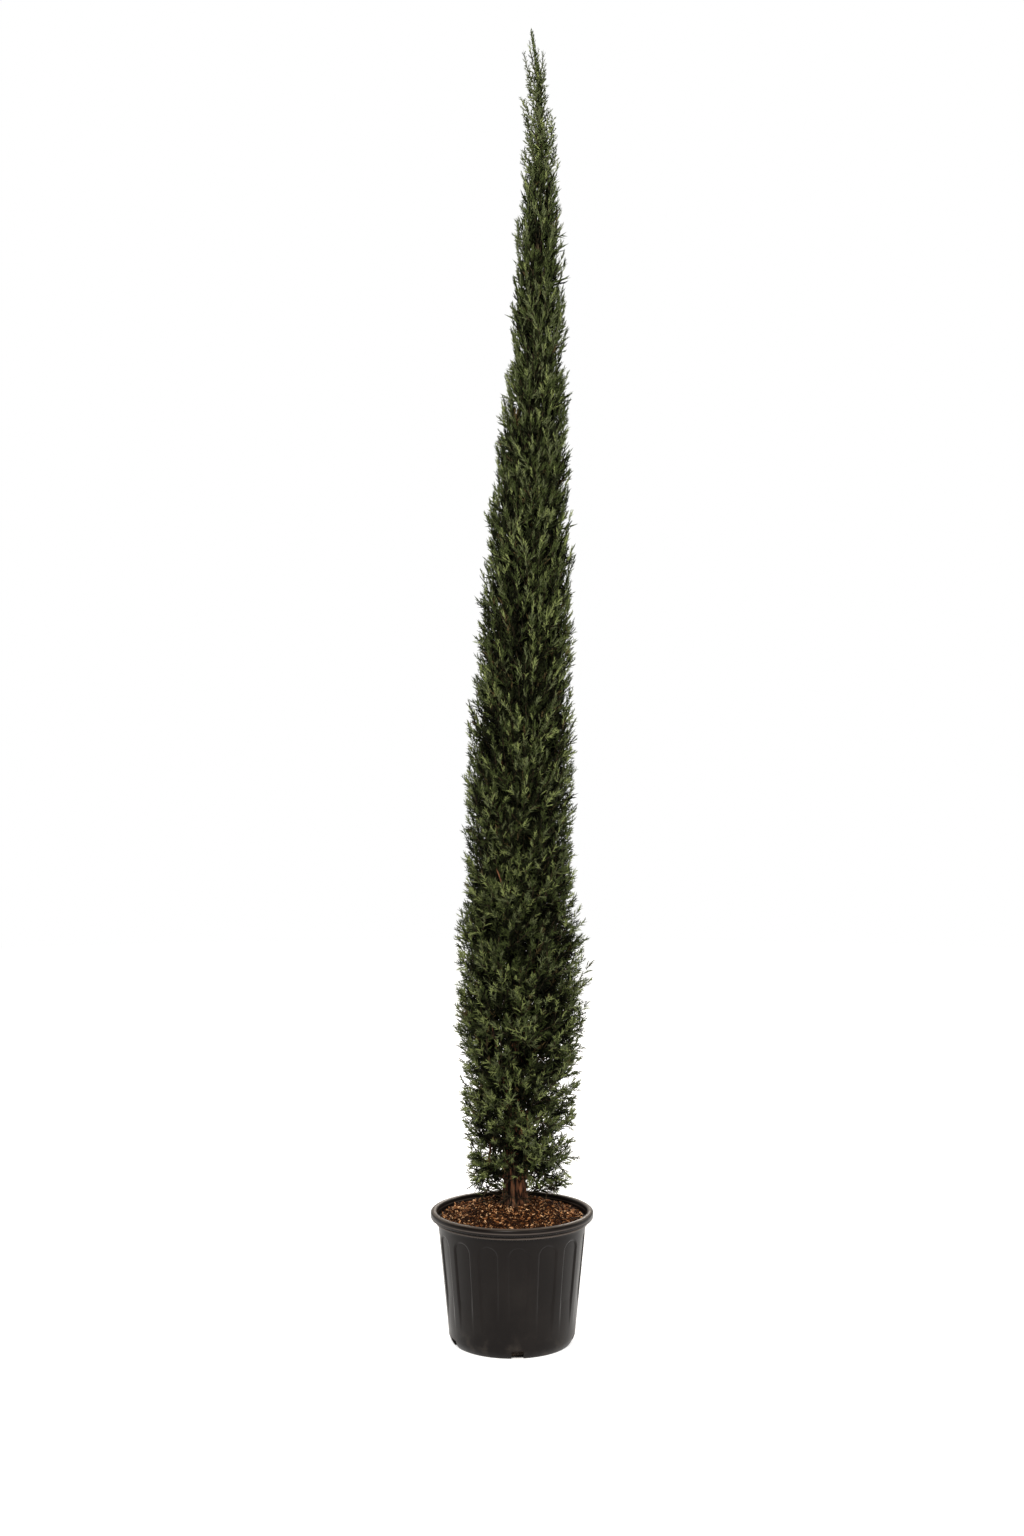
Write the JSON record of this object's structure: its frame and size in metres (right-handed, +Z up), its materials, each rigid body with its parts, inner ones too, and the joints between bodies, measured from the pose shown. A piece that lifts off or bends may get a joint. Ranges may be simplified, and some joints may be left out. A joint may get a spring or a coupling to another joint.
{
  "type": "potted italian cypress",
  "caption": "Tall narrow columnar cypress with dark green scale foliage, growing in a round fluted plastic nursery pot topped with bark mulch.",
  "frame": {"origin": "centre of the pot's flat underside", "axes": "+Z up along the pot's axis, towards the tree's tip; -Y is the front, the side seen in the picture; the leader leans towards +X"},
  "size_m": [0.2735, 0.2739, 2.21],
  "materials": {
    "pot_plastic": "matt brown-black moulded plastic",
    "potting_mix": "rooted potting mix, hidden in the pot",
    "bark_chips": "rough bark mulch",
    "bark": "fibrous, fissured reddish-brown bark",
    "foliage": "dense dark green scale foliage"
  },
  "bodies": {
    "root": {"bark_mulch": "bark_chips", "bough_01": "bark", "bough_02": "bark", "bough_03": "bark", "bough_04": "bark", "bough_05": "bark", "bough_06": "bark", "bough_07": "bark", "bough_08": "bark", "bough_09": "bark", "bough_10": "bark", "bough_11": "bark", "bough_12": "bark", "bough_13": "bark", "bough_14": "bark", "bough_15": "bark", "bough_16": "bark", "bough_17": "bark", "bough_18": "bark", "bough_19": "bark", "bough_20": "bark", "bough_21": "bark", "foliage_01": "foliage", "foliage_02": "foliage", "foliage_03": "foliage", "foliage_04": "foliage", "foliage_05": "foliage", "foliage_06": "foliage", "foliage_07": "foliage", "foliage_08": "foliage", "foliage_09": "foliage", "foliage_10": "foliage", "foliage_11": "foliage", "foliage_12": "foliage", "foliage_13": "foliage", "foliage_14": "foliage", "foliage_15": "foliage", "foliage_16": "foliage", "foliage_17": "foliage", "foliage_18": "foliage", "foliage_19": "foliage", "foliage_20": "foliage", "foliage_21": "foliage", "foliage_leader": "foliage", "pot": "pot_plastic", "root_ball": "potting_mix", "trunk": "bark"}
  },
  "joints": []
}
